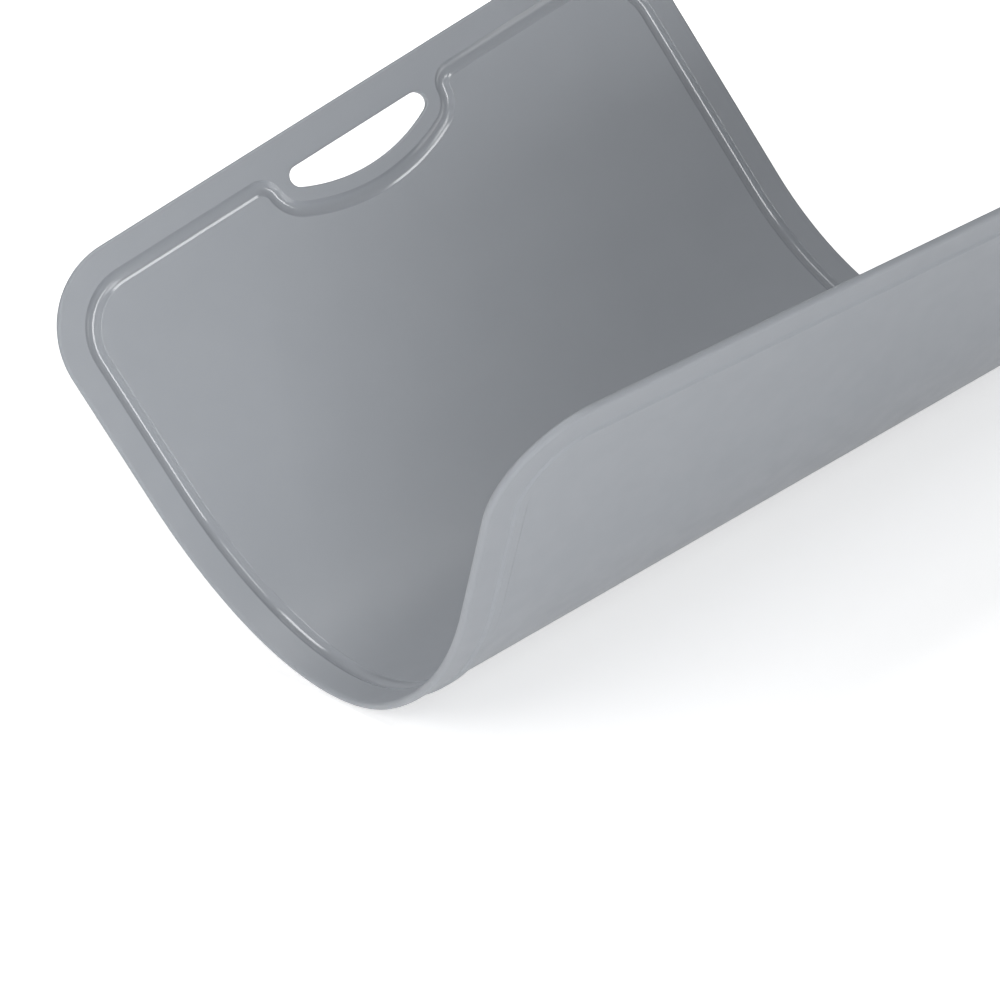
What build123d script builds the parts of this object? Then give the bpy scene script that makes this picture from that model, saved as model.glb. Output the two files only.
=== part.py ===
from build123d import *
import math
import os

# A flexible chopping mat, moulded in one piece and curled into the trough that tips food out.
# It is modelled flat, as it comes out of the mould, then cut at the bend lines and curled.
# Sizes are millimetres and degrees.

# Outline of the flat mat
mat_length = 400.0  # from the handle edge to the free edge
mat_width = 280.0  # along the handle edge
sheet_thickness = 3.0
corner_radius = 35.0
rim_round = 1.4  # rounding of the rim, on the cutting face and on the back

# Grip slot in the handle edge, a half-moon with its straight side towards the edge
slot_border = 13.0  # from the handle edge to the straight side
slot_depth = 14.0  # from the straight side to the deepest point of the bow
slot_bow_radius = 68.0
slot_end_round = 4.0
slot_lip_bevel = 0.8

# Juice groove round the cutting face, which swings round the slot
groove_border = 10.0  # from the edge of the mat to the groove
groove_width = 5.5  # across its mouth
groove_floor = 2.0
groove_depth = 1.3
groove_lip_bevel = 0.4
groove_slot_gap = 5.5  # from the slot to the groove, round its bow and its ends
swing_ease_radius = 6.0  # where the groove turns out of its straight run

# Bead on the back, where the wall follows the groove
bead_height = 0.8
bead_crown = 3.0

# Curl, measured on the cutting face
handle_flat = 86.0  # flat run from the near handle corner to the first bend line
trough_radius = 90.0
trough_angle = 90.0
free_radius = 150.0
free_angle = 33.0
curl_skew = 5.6  # turn of the bend lines away from the handle edge

# How far a cutter runs past the face that it opens
cut_overrun = 1.0

# Places that follow from the sizes
groove_line = groove_border + groove_width / 2
slot_bow_centre = slot_border + slot_depth - slot_bow_radius
advance_share = math.tan(math.radians(curl_skew))


def rounded_sheet():
    """The plain sheet with its round corners and round rim, near handle corner at the origin."""
    with BuildPart() as sheet:
        with BuildSketch():
            with Locations((mat_length / 2, mat_width / 2)):
                RectangleRounded(mat_length, mat_width, corner_radius)
        extrude(amount=-sheet_thickness)
        fillet(sheet.faces().filter_by(Axis.Z).edges(), rim_round)
    return sheet.part


def half_moon():
    """The outline of the grip slot with its round ends."""
    half_chord = math.sqrt(slot_bow_radius**2 - (slot_border - slot_bow_centre) ** 2)
    with BuildSketch() as moon:
        with BuildLine():
            straight_side = Line(
                (slot_border, mat_width / 2 - half_chord),
                (slot_border, mat_width / 2 + half_chord),
            )
            ThreePointArc(
                straight_side @ 1,
                (slot_border + slot_depth, mat_width / 2),
                straight_side @ 0,
            )
        make_face()
        fillet(moon.vertices(), slot_end_round)
    return moon.sketch


def grip_slot(moon):
    """The cutter for the slot that the fingers go through."""
    return extrude(moon, amount=sheet_thickness + cut_overrun, both=True)


def groove_track(moon):
    """The middle line of the groove: an inset of the outline that swings round the slot."""
    round_slot = offset(moon, amount=groove_slot_gap + groove_width / 2)
    with BuildSketch() as inside:
        with Locations((mat_length / 2, mat_width / 2)):
            RectangleRounded(
                mat_length - 2 * groove_line,
                mat_width - 2 * groove_line,
                corner_radius - groove_line,
            )
        add(round_slot, mode=Mode.SUBTRACT)
        turns = inside.vertices().group_by(Axis.X)[0].sort_by(Axis.Y)[1:-1]
        fillet(turns, swing_ease_radius)
    return inside.face().outer_wire()


def across_track(track, height):
    """A plane square to the start of the track, with its second axis pointing up."""
    return Plane(
        origin=track @ 0 + Vector(0, 0, height),
        x_dir=Vector(0, 0, 1).cross(track % 0),
        z_dir=track % 0,
    )


def groove_cutter(track):
    """A bar along the track that leaves a flat-floored groove with sloping walls."""
    wall_slope = (groove_width - groove_floor) / 2 / groove_depth
    half_top = groove_width / 2 + cut_overrun * wall_slope
    with BuildSketch(across_track(track, 0)) as section:
        with BuildLine():
            Polyline(
                (-half_top, cut_overrun),
                (-groove_floor / 2, -groove_depth),
                (groove_floor / 2, -groove_depth),
                (half_top, cut_overrun),
                close=True,
            )
        make_face()
    return sweep(section.sketch, path=track)


def back_bead(track):
    """The shallow bead on the back with its sloping sides, rooted halfway into the sheet."""
    with BuildSketch(across_track(track, -sheet_thickness)) as section:
        with BuildLine():
            Polyline(
                (-bead_crown / 2, -bead_height),
                (-groove_width / 2, 0),
                (-groove_width / 2, sheet_thickness / 2),
                (groove_width / 2, sheet_thickness / 2),
                (groove_width / 2, 0),
                (bead_crown / 2, -bead_height),
                close=True,
            )
        make_face()
    return sweep(section.sketch, path=track)


def flat_mat():
    """The mat as moulded: sheet, slot, bead and groove."""
    moon = half_moon()
    sheet = rounded_sheet()
    slot = grip_slot(moon)
    holed = sheet - slot
    holed = chamfer(new_edges(sheet, slot, combined=holed), slot_lip_bevel)
    track = groove_track(moon)
    beaded = holed + back_bead(track)
    groove = groove_cutter(track)
    grooved = beaded - groove
    return chamfer(new_edges(beaded, groove, combined=grooved), groove_lip_bevel)


def screw(radius, angle):
    """The rigid motion along a bend: a turn about its axis with a small advance along it."""
    axis_point = Pos(handle_flat, 0, radius)
    advance = radius * math.radians(angle) * advance_share
    return Pos(0, advance, 0) * axis_point * Rot(0, -angle, 0) * axis_point.inverse()


def bend(section, radius, angle):
    """The sheet's cross-section at the bend line, swept round the bend on a helix."""
    turn = 2 * math.pi * radius
    arc_share = angle / 360
    helix = Helix(
        pitch=turn * advance_share,
        height=turn * arc_share * advance_share,
        radius=radius,
        lefthand=True,
    )
    bend_axis = Plane(origin=(handle_flat, 0, radius), x_dir=(0, 0, -1), z_dir=(0, 1, 0))
    return sweep(section, path=bend_axis * helix, is_frenet=True)


def curled_mat(flat):
    """The flat mat cut at its two outer bend lines, with two bends swept in between."""
    arc_length = trough_radius * math.radians(trough_angle) + free_radius * math.radians(free_angle)
    mat = Rot(0, 0, curl_skew) * flat
    first_line = Plane(origin=(handle_flat, 0, 0), z_dir=(1, 0, 0))
    last_line = Plane(origin=(handle_flat + arc_length, 0, 0), z_dir=(1, 0, 0))
    handle_panel = split(mat, bisect_by=first_line, keep=Keep.BOTTOM)
    free_panel = split(mat, bisect_by=last_line, keep=Keep.TOP)
    section = handle_panel.faces().sort_by(Axis.X)[-1]
    after_trough = screw(trough_radius, trough_angle)
    after_bends = after_trough * screw(free_radius, free_angle)
    back_to_section = Pos(-arc_length, -arc_length * advance_share, 0)
    trough = bend(section, trough_radius, trough_angle)
    free_bend = after_trough * bend(section, free_radius, free_angle)
    free_end = after_bends * back_to_section * free_panel
    return handle_panel + trough + free_bend + free_end


def at_rest(mat):
    """Turned until it balances on the trough, with the origin under the middle of its box."""
    balance = mat.center(CenterOf.MASS)
    tilt = math.degrees(math.atan2(balance.X - handle_flat, trough_radius - balance.Z))
    standing = Rot(0, tilt, 0) * mat
    box = standing.bounding_box()
    return Pos(-box.center().X, -box.center().Y, -box.min.Z) * standing


cutting_mat = at_rest(curled_mat(flat_mat()))
os.makedirs("parts", exist_ok=True)
export_step(cutting_mat, "parts/cutting_mat.step")
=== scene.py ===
import math

import bmesh
import bpy
from mathutils import Matrix, Vector


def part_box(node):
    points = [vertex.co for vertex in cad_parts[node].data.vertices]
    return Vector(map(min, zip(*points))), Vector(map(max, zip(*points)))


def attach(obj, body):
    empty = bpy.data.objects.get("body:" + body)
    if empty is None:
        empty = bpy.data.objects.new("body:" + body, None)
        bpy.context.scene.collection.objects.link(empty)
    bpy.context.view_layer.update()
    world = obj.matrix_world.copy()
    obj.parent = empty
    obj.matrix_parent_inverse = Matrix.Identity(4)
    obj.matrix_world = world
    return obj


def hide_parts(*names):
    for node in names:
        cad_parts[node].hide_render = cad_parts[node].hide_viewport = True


# A flexible cutting mat curled into a trough. The mesh is drawn flat, as the mat leaves its mould,
# cut across at many bend lines, and then curled and stood on the bottom of the trough.
# Lengths are metres. Angles are degrees among the values here, and radians in the functions.

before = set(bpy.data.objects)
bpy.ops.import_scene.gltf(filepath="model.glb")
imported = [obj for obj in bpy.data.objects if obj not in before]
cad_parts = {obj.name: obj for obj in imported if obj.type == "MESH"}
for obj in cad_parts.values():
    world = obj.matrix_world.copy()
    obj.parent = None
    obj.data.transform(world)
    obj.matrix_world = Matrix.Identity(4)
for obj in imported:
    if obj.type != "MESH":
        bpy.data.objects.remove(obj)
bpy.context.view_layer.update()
mat_low, mat_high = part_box("cutting_mat")

mm = 0.001

# The mat, laid flat: x runs from the handle edge to the free edge, y along the handle edge
mat_length = 400 * mm
mat_width = 280 * mm
sheet_thickness = 3 * mm
corner_radius = 35 * mm
corner_steps = 36

# Rim, rounded on both sides, with the thin parting line of the mould between
rim_round = 1.4 * mm
rim_steps = 8
parting_dip = 0.05 * mm

# Grip slot
slot_border = 13 * mm
slot_depth = 14 * mm
slot_bow_radius = 68 * mm
slot_end_round = 4 * mm
slot_lip_round = 0.8 * mm
slot_lip_steps = 5
slot_end_steps = 16
slot_bow_steps = 40

# Juice groove, a round channel with rounded lips
groove_border = 10 * mm
groove_width = 5.5 * mm
groove_depth = 1.3 * mm
groove_lip_round = 0.6 * mm
groove_lip_steps = 5
groove_bed_steps = 14
groove_slot_gap = 5.5 * mm
swing_ease_radius = 6 * mm
swing_bow_steps = 40
swing_end_steps = 24
swing_ease_steps = 20

# Bead on the back, behind the groove
bead_height = 0.8 * mm
bead_crown = 3 * mm
bead_slope_steps = 8

# Curl
handle_flat = 86 * mm
trough_radius = 90 * mm
trough_angle = 90
free_radius = 150 * mm
free_angle = 33
curl_skew = 5.6  # turn of the bend lines away from the handle edge
rest_tilt = 68.337  # where the curled mat balances
bend_step = 1
cut_tolerance = 0.001 * mm

# Plastic: the two shades that it drifts between, and how many clouds, smears and grains to a metre
plastic_dark = (0.345, 0.365, 0.395, 1)
plastic_light = (0.365, 0.385, 0.415, 1)
noise_low = 0.3  # most of the noise lies between these two
noise_high = 0.7
cloud_per_metre = 45
cloud_detail = 3
smear_per_metre = 120
smear_detail = 2
grain_per_metre = 1600
grain_detail = 2

# Finishes: the satin faces of the mat, and its groove, which is polished
satin_roughness = 0.45
satin_drift = 0.04  # of the roughness, to either side
satin_grain = 0.012 * mm
satin_gloss = 0.5
polished_roughness = 0.13
polished_drift = 0.02
polished_grain = 0.003 * mm
polished_gloss = 1

# Places that follow from the sizes
groove_line = groove_border + groove_width / 2
slot_bow_centre = slot_border + slot_depth - slot_bow_radius
half_width = mat_width / 2
slot_end_inward = slot_border + slot_end_round
slot_end_aside = math.sqrt(
    (slot_bow_radius - slot_end_round) ** 2 - (slot_end_inward - slot_bow_centre) ** 2
)
half_bow = math.atan2(slot_end_aside, slot_end_inward - slot_bow_centre)
swing_reach = groove_slot_gap + groove_width / 2
trough_arc = trough_radius * math.radians(trough_angle)
free_arc = free_radius * math.radians(free_angle)

# Camera, at the photograph's place
camera_azimuth = 66.57
camera_elevation = 25.55
camera_roll = -18.35
camera_distance = 1210 * mm
camera_aim = Vector((-73.2, -32.5, 6.1)) * mm
camera_lens = 118.3  # millimetres, on Blender's own 36 mm sensor

# Studio lamps: place, where it points, width and height, and watts
lamps = {
    "front": ((1.22, 0.08, 0.66), (-0.1, -0.1, 0.08), (0.36, 0.5), 3.1),
    "high_front": ((0.64, 0.04, 1.36), (-0.13, -0.12, 0.14), (0.3, 0.75), 2),
    "overhead": ((-0.33, 0.08, 1.5), (-0.33, 0.08, 0), (0.7, 0.56), 5.4),
    "fill_front": ((1.1, -0.7, 0.12), (0, 0, 0.08), (0.9, 0.2), 7.2),
    "fill_left": ((0.05, -0.42, 0.36), (-0.1, -0.15, 0.08), (0.3, 0.3), 0.55),
    "fill_behind": ((-0.5, -0.9, 0.5), (-0.1, -0.1, 0.08), (0.7, 0.6), 1.6),
    "fill_back": ((-1.1, 0.6, 0.22), (-0.1, 0, 0.08), (0.8, 0.4), 8),
    "fill_far": ((-0.6, 0.9, 0.8), (0.1, 0, 0.08), (0.6, 0.6), 1.5),
}

# Sky and floor, both lifted to white where they are looked at
white = (1, 1, 1, 1)
sky_level = 0.08
white_level = 1
floor_reach = 3
floor_shade = (0.9, 0.9, 0.9, 1)
floor_lift = 0.57  # near the mat, where its shadow falls
far_floor_lift = 1
shadow_reach = 0.35
far_reach = 1


def loop_points(start, heading, strokes):
    """Points of a closed loop, in order. A stroke is a straight run (length, 0, 1), or a turn to
    the left (radius, angle, steps), where a negative radius and angle turn to the right."""
    pen = Vector(start)
    points = []
    for reach, angle, steps in strokes:
        ahead = Vector((math.cos(heading), math.sin(heading)))
        if angle:
            centre = pen + Vector((-ahead.y, ahead.x)) * reach
            spoke = pen - centre
            for step in range(1, steps + 1):
                points.append(centre + Matrix.Rotation(angle * step / steps, 2) @ spoke)
        else:
            points.append(pen + ahead * reach)
        pen = points[-1]
        heading += angle
    return points


def ring_at(bm, points, height):
    """A ring of new vertices, all at one height."""
    return [bm.verts.new((point.x, point.y, height)) for point in points]


def outline_loop(bm, inset, height):
    """The outline of the mat, moved inwards."""
    turn = (corner_radius - inset, math.pi / 2, corner_steps)
    along_handle = (mat_width - 2 * corner_radius, 0, 1)
    along_side = (mat_length - 2 * corner_radius, 0, 1)
    strokes = [along_handle, turn, along_side, turn] * 2
    start = (inset, mat_width - corner_radius)
    return ring_at(bm, loop_points(start, -math.pi / 2, strokes), height)


def track_loop(bm, inset, height):
    """The line of the groove and the bead, moved inwards: it swings round the grip slot."""
    end_radius = slot_end_round + swing_reach
    ease_inward = groove_line + swing_ease_radius - slot_end_inward
    ease_aside = math.sqrt((end_radius + swing_ease_radius) ** 2 - ease_inward**2)
    turn = math.atan2(ease_aside, ease_inward)
    corner = (corner_radius - groove_line - inset, math.pi / 2, corner_steps)
    ease = (swing_ease_radius - inset, turn, swing_ease_steps)
    round_end = (-end_radius - inset, half_bow - turn, swing_end_steps)
    round_bow = (-slot_bow_radius - swing_reach - inset, -2 * half_bow, swing_bow_steps)
    beside_slot = (half_width - corner_radius - slot_end_aside - ease_aside, 0, 1)
    along_side = (mat_length - 2 * corner_radius, 0, 1)
    along_free = (mat_width - 2 * corner_radius, 0, 1)
    strokes = [beside_slot, ease, round_end, round_bow, round_end, ease, beside_slot]
    strokes += [corner, along_side, corner, along_free, corner, along_side, corner]
    start = (groove_line + inset, mat_width - corner_radius)
    return ring_at(bm, loop_points(start, -math.pi / 2, strokes), height)


def slot_loop(bm, outset, height):
    """The half-moon of the grip slot, moved outwards."""
    end = (slot_end_round + outset, math.pi - half_bow, slot_end_steps)
    bow = (slot_bow_radius + outset, 2 * half_bow, slot_bow_steps)
    strokes = [(2 * slot_end_aside, 0, 1), end, bow, end]
    start = (slot_border - outset, half_width + slot_end_aside)
    return ring_at(bm, loop_points(start, -math.pi / 2, strokes), height)


def quarter_round(radius, steps):
    """Points (aside, down) of a rounded edge, from the flat face down to the upright side."""
    turns = [math.pi / 2 * step / steps for step in range(steps + 1)]
    return [(radius * (1 - math.sin(turn)), radius * (1 - math.cos(turn))) for turn in turns]


def rim_profile():
    """Points (inset, height) over the rim, from the cutting face to the back."""
    upper = [(inset, -down) for inset, down in quarter_round(rim_round, rim_steps)]
    parting = [(parting_dip, -sheet_thickness / 2)]
    lower = [(inset, -sheet_thickness - height) for inset, height in reversed(upper)]
    return upper + parting + lower


def slot_profile():
    """Points (outset, height) through the grip slot, from the cutting face to the back."""
    upper = [(outset, -down) for outset, down in quarter_round(slot_lip_round, slot_lip_steps)]
    lower = [(outset, -sheet_thickness - height) for outset, height in reversed(upper)]
    return upper + lower


def groove_profile():
    """Points (inset, height) across the groove, from the outer lip to the inner lip."""
    bed_radius = ((groove_width / 2) ** 2 + groove_depth**2) / (2 * groove_depth)
    bed_height = bed_radius - groove_depth
    lip_height = bed_height + groove_lip_round
    lip_aside = math.sqrt((bed_radius + groove_lip_round) ** 2 - lip_height**2)
    half_turn = math.atan2(lip_aside, lip_height)
    points = []
    for step in range(groove_lip_steps):
        turn = half_turn * step / groove_lip_steps
        aside = -lip_aside + groove_lip_round * math.sin(turn)
        points.append((aside, groove_lip_round * (math.cos(turn) - 1)))
    for step in range(groove_bed_steps + 1):
        turn = half_turn * (2 * step / groove_bed_steps - 1)
        points.append((bed_radius * math.sin(turn), bed_height - bed_radius * math.cos(turn)))
    points += [(-aside, height) for aside, height in reversed(points[:groove_lip_steps])]
    return points


def bead_profile():
    """Points (inset, height) across the bead on the back, with a soft foot and shoulder."""
    slope = (groove_width - bead_crown) / 2
    points = []
    for step in range(bead_slope_steps + 1):
        share = step / bead_slope_steps
        rise = bead_height * (1 - math.cos(math.pi * share)) / 2
        points.append((-groove_width / 2 + slope * share, -sheet_thickness - rise))
    return points + [(-inset, height) for inset, height in reversed(points)]


def join_rings(bm, rings):
    """Joins each ring to the next, point to point, and returns the new faces."""
    faces = []
    for near, far in zip(rings, rings[1:]):
        for index in range(len(near)):
            corners = (near[index - 1], near[index], far[index], far[index - 1])
            faces.append(bm.faces.new(corners))
    return faces


def fill_between(bm, rings):
    """Fills the flat face that several rings bound."""
    edges = []
    for ring in rings:
        edges += [bm.edges.get((ring[index - 1], ring[index])) for index in range(len(ring))]
    bmesh.ops.triangle_fill(bm, edges=edges, use_beauty=True)


def flat_mat(bm):
    """The mat as moulded. Faces of the groove get the second material."""
    rim = [outline_loop(bm, inset, height) for inset, height in rim_profile()]
    slot = [slot_loop(bm, outset, height) for outset, height in slot_profile()]
    groove = [track_loop(bm, inset, height) for inset, height in groove_profile()]
    bead = [track_loop(bm, inset, height) for inset, height in bead_profile()]
    join_rings(bm, rim)
    join_rings(bm, slot)
    join_rings(bm, bead)
    for face in join_rings(bm, groove):
        face.material_index = 1
    fill_between(bm, (rim[0], slot[0], groove[0]))
    fill_between(bm, (rim[-1], slot[-1], bead[0]))
    bm.faces.new(groove[-1])
    bm.faces.new(bead[-1])
    bmesh.ops.recalc_face_normals(bm, faces=bm.faces)


def cut_at_bend_lines(bm):
    """Cuts the turned mat across at every small step of both bends."""
    places = []
    for start, arc, angle in (
        (handle_flat, trough_arc, trough_angle),
        (handle_flat + trough_arc, free_arc, free_angle),
    ):
        count = round(angle / bend_step)
        places += [start + arc * step / count for step in range(count + 1)]
    for place in sorted(set(places)):
        bmesh.ops.bisect_plane(
            bm,
            geom=bm.verts[:] + bm.edges[:] + bm.faces[:],
            dist=cut_tolerance,
            plane_co=(place, 0, 0),
            plane_no=(1, 0, 0),
        )


def curled(point):
    """Where a point of the flat mat, already turned by the skew, lies once the mat is curled."""
    beyond = point.x - handle_flat
    if beyond <= 0:
        return point
    in_trough = min(beyond, trough_arc)
    in_free = min(beyond - in_trough, free_arc)
    straight = beyond - in_trough - in_free
    centre = Vector((handle_flat, point.y, trough_radius))
    spoke = Matrix.Rotation(-in_trough / trough_radius, 3, "Y") @ Vector((0, 0, -1))
    radius = trough_radius
    if in_free > 0:
        centre += spoke * (trough_radius - free_radius)
        radius = free_radius
        spoke = Matrix.Rotation(-in_free / free_radius, 3, "Y") @ spoke
    ahead = Vector((-spoke.z, 0, spoke.x))
    return centre + spoke * (radius - point.z) + ahead * straight


def stand_at_rest(bm):
    """Tilts the curled mat to where it balances and moves it to the place of its solid."""
    tilt = Matrix.Rotation(math.radians(rest_tilt), 3, "Y")
    bmesh.ops.rotate(bm, verts=bm.verts, cent=(0, 0, 0), matrix=tilt)
    low = Vector([min(vert.co[axis] for vert in bm.verts) for axis in range(3)])
    high = Vector([max(vert.co[axis] for vert in bm.verts) for axis in range(3)])
    shift = (mat_low + mat_high - low - high) / 2
    shift.z = mat_low.z - low.z
    bmesh.ops.translate(bm, verts=bm.verts, vec=shift)


def cutting_mat_mesh():
    """The whole mat: drawn flat, turned by the skew of its bends, cut, curled and set to rest."""
    bm = bmesh.new()
    flat_mat(bm)
    skew = Matrix.Rotation(math.radians(curl_skew), 3, "Z")
    bmesh.ops.rotate(bm, verts=bm.verts, cent=(0, 0, 0), matrix=skew)
    cut_at_bend_lines(bm)
    for vert in bm.verts:
        vert.co = curled(vert.co)
    stand_at_rest(bm)
    for face in bm.faces:
        face.smooth = True
    mesh = bpy.data.meshes.new("cutting_mat_visual")
    bm.to_mesh(mesh)
    bm.free()
    return mesh


def plastic(name, roughness, drift, grain_height, gloss):
    """Moulded grey plastic. Its shade drifts in clouds and its roughness in smears, and the
    mould's grain shows as a fine bump."""
    material = bpy.data.materials.new(name)
    material.use_nodes = True
    nodes = material.node_tree.nodes
    links = material.node_tree.links
    shader = nodes["Principled BSDF"]
    shader.inputs["Specular IOR Level"].default_value = gloss
    place = nodes.new("ShaderNodeTexCoord").outputs["Object"]

    def noise(per_metre, detail):
        texture = nodes.new("ShaderNodeTexNoise")
        texture.inputs["Scale"].default_value = per_metre
        texture.inputs["Detail"].default_value = detail
        links.new(place, texture.inputs["Vector"])
        return texture.outputs["Fac"]

    def between(source, low, high):
        ramp = nodes.new("ShaderNodeMapRange")
        ramp.inputs["From Min"].default_value = noise_low
        ramp.inputs["From Max"].default_value = noise_high
        ramp.inputs["To Min"].default_value = low
        ramp.inputs["To Max"].default_value = high
        links.new(source, ramp.inputs["Value"])
        return ramp.outputs["Result"]

    mix = nodes.new("ShaderNodeMix")
    mix.data_type = "RGBA"
    mix.inputs["A"].default_value = plastic_dark
    mix.inputs["B"].default_value = plastic_light
    links.new(noise(cloud_per_metre, cloud_detail), mix.inputs["Factor"])
    links.new(mix.outputs["Result"], shader.inputs["Base Color"])
    smears = noise(smear_per_metre, smear_detail)
    drifting = between(smears, roughness - drift, roughness + drift)
    links.new(drifting, shader.inputs["Roughness"])
    bump = nodes.new("ShaderNodeBump")
    bump.inputs["Distance"].default_value = grain_height
    links.new(noise(grain_per_metre, grain_detail), bump.inputs["Height"])
    links.new(bump.outputs["Normal"], shader.inputs["Normal"])
    return material


def cutting_mat():
    """The mat with its two finishes. Large faces lead the shading, so the flat ones look flat."""
    mat = bpy.data.objects.new("cutting_mat_visual", cutting_mat_mesh())
    bpy.context.scene.collection.objects.link(mat)
    satin = plastic("satin_face", satin_roughness, satin_drift, satin_grain, satin_gloss)
    polished = plastic(
        "polished_groove", polished_roughness, polished_drift, polished_grain, polished_gloss
    )
    mat.data.materials.append(satin)
    mat.data.materials.append(polished)
    mat.modifiers.new("weighted_normals", "WEIGHTED_NORMAL")
    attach(mat, "root")
    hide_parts("cutting_mat")


def camera():
    """The camera, aimed and rolled as the photograph's was."""
    data = bpy.data.cameras.new("camera")
    data.lens = camera_lens
    view = bpy.data.objects.new("camera", data)
    bpy.context.scene.collection.objects.link(view)
    azimuth = math.radians(camera_azimuth)
    elevation = math.radians(camera_elevation)
    turn = (
        Matrix.Rotation(azimuth, 4, "Z")
        @ Matrix.Rotation(math.pi / 2 - elevation, 4, "X")
        @ Matrix.Rotation(math.radians(camera_roll), 4, "Z")
    )
    back = turn @ Vector((0, 0, camera_distance))
    view.matrix_world = Matrix.Translation(camera_aim + back) @ turn
    bpy.context.scene.camera = view


def seen_directly(nodes, links, rays):
    """A socket that is 1 for the named kinds of ray and 0 for the rest."""
    path = nodes.new("ShaderNodeLightPath")
    seen = path.outputs[rays[0]]
    for ray in rays[1:]:
        either = nodes.new("ShaderNodeMath")
        either.operation = "MAXIMUM"
        links.new(seen, either.inputs[0])
        links.new(path.outputs[ray], either.inputs[1])
        seen = either.outputs["Value"]
    return seen


def floor():
    """A plain floor, lifted to white where it is looked at, which keeps the shadow of the mat."""
    bm = bmesh.new()
    bmesh.ops.create_grid(bm, x_segments=1, y_segments=1, size=floor_reach)
    mesh = bpy.data.meshes.new("floor")
    bm.to_mesh(mesh)
    bm.free()
    ground = bpy.data.objects.new("floor", mesh)
    bpy.context.scene.collection.objects.link(ground)
    material = bpy.data.materials.new("floor")
    material.use_nodes = True
    nodes = material.node_tree.nodes
    links = material.node_tree.links
    shader = nodes["Principled BSDF"]
    shader.inputs["Base Color"].default_value = floor_shade
    distance = nodes.new("ShaderNodeVectorMath")
    distance.operation = "LENGTH"
    links.new(nodes.new("ShaderNodeTexCoord").outputs["Object"], distance.inputs[0])
    graded = nodes.new("ShaderNodeMapRange")
    graded.inputs["From Min"].default_value = shadow_reach
    graded.inputs["From Max"].default_value = far_reach
    graded.inputs["To Min"].default_value = floor_lift
    graded.inputs["To Max"].default_value = far_floor_lift
    links.new(distance.outputs["Value"], graded.inputs["Value"])
    lift = nodes.new("ShaderNodeMath")
    lift.operation = "MULTIPLY"
    rays = ("Is Camera Ray", "Is Glossy Ray", "Is Transmission Ray")
    links.new(seen_directly(nodes, links, rays), lift.inputs[0])
    links.new(graded.outputs["Result"], lift.inputs[1])
    shader.inputs["Emission Color"].default_value = white
    links.new(lift.outputs["Value"], shader.inputs["Emission Strength"])
    mesh.materials.append(material)


def studio():
    """The lamps. The fill lamps stand for light that comes back from the whole room, so they
    leave no highlights."""
    for name, (place, target, (width, height), watts) in lamps.items():
        data = bpy.data.lights.new(name, "AREA")
        data.shape = "RECTANGLE"
        data.size = width
        data.size_y = height
        data.energy = watts
        lamp = bpy.data.objects.new(name, data)
        bpy.context.scene.collection.objects.link(lamp)
        lamp.visible_camera = False
        lamp.visible_glossy = not name.startswith("fill")
        lamp.location = place
        ahead = Vector(target) - Vector(place)
        lamp.rotation_euler = ahead.to_track_quat("-Z", "Y").to_euler()


def sky():
    """Even light from all round, which is white where it is looked at."""
    world = bpy.data.worlds.new("sky")
    world.use_nodes = True
    nodes = world.node_tree.nodes
    links = world.node_tree.links
    level = nodes.new("ShaderNodeMix")
    level.inputs["A"].default_value = sky_level
    level.inputs["B"].default_value = white_level
    links.new(seen_directly(nodes, links, ("Is Camera Ray",)), level.inputs["Factor"])
    nodes["Background"].inputs["Color"].default_value = white
    links.new(level.outputs["Result"], nodes["Background"].inputs["Strength"])
    bpy.context.scene.world = world


cutting_mat()
camera()
floor()
studio()
sky()
bpy.context.scene.view_settings.view_transform = "Standard"
